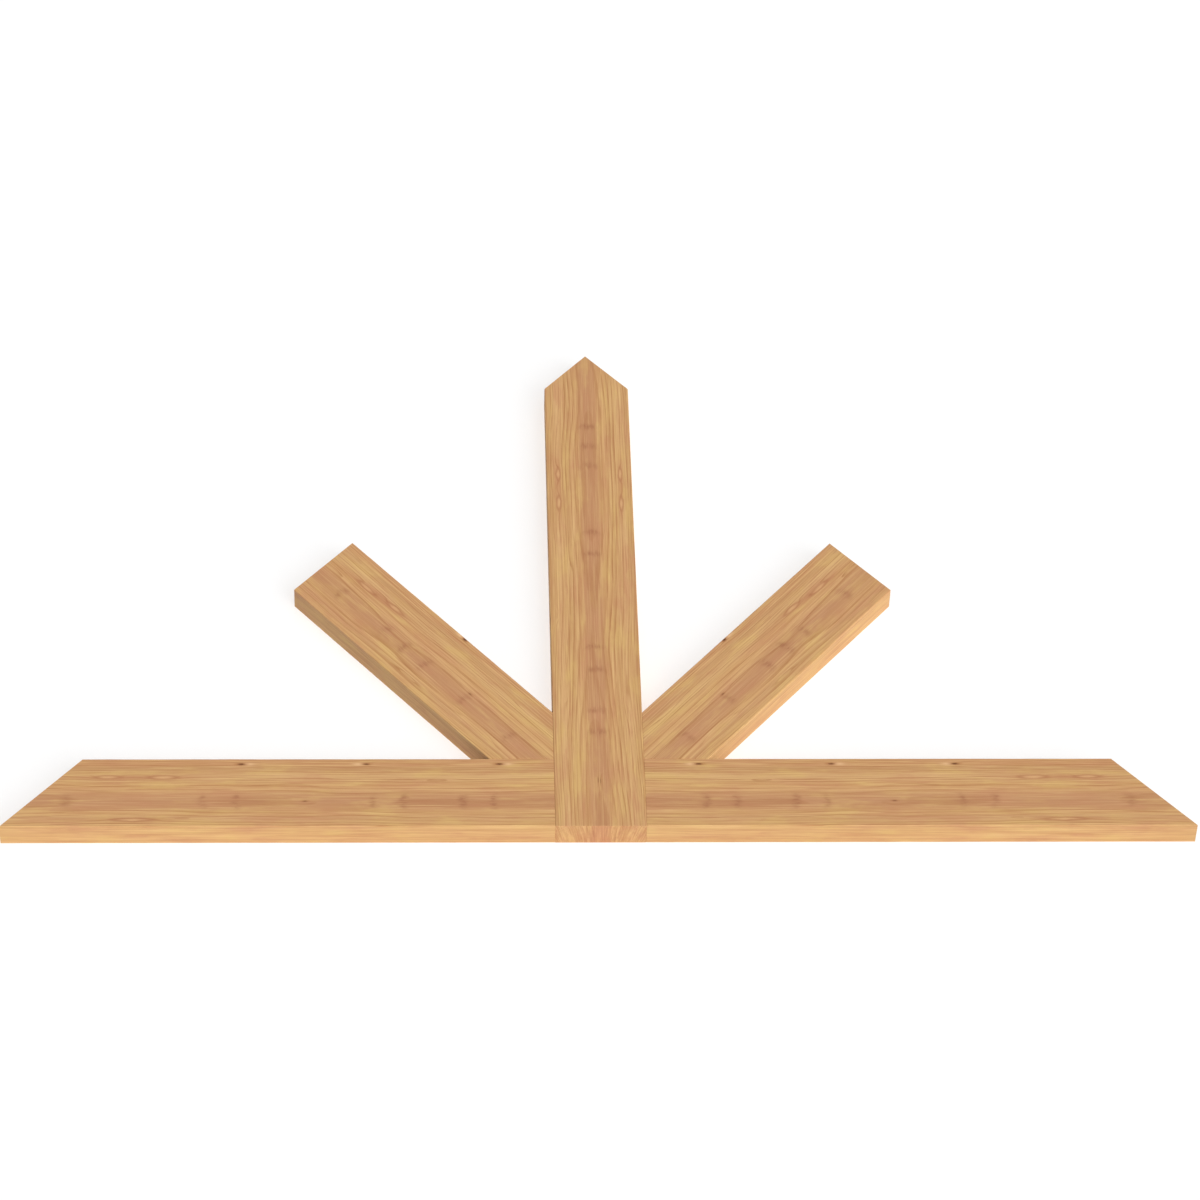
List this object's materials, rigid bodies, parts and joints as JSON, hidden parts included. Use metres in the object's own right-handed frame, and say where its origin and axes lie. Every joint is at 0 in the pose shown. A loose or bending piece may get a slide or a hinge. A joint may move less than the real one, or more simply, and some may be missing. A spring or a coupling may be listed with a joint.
{
  "type": "timber gable bracket",
  "caption": "Flat triangular gable bracket of planed timber: king post, split bottom chord and diagonal struts with ends cut to the roof slope.",
  "frame": {"origin": "middle of the outline's bounding box, on the back face, with the bracket lying on its back", "axes": "+X along the bottom chord towards its right end, +Y from the bottom chord to the peak, +Z out of the front face"},
  "size_m": [1.8288, 1.0668, 0.0381],
  "materials": {
    "timber": "satin"
  },
  "bodies": {
    "root": {"king_post": "timber", "bottom_chord_left": "timber", "bottom_chord_right": "timber", "strut_left": "timber", "strut_right": "timber"}
  },
  "joints": []
}
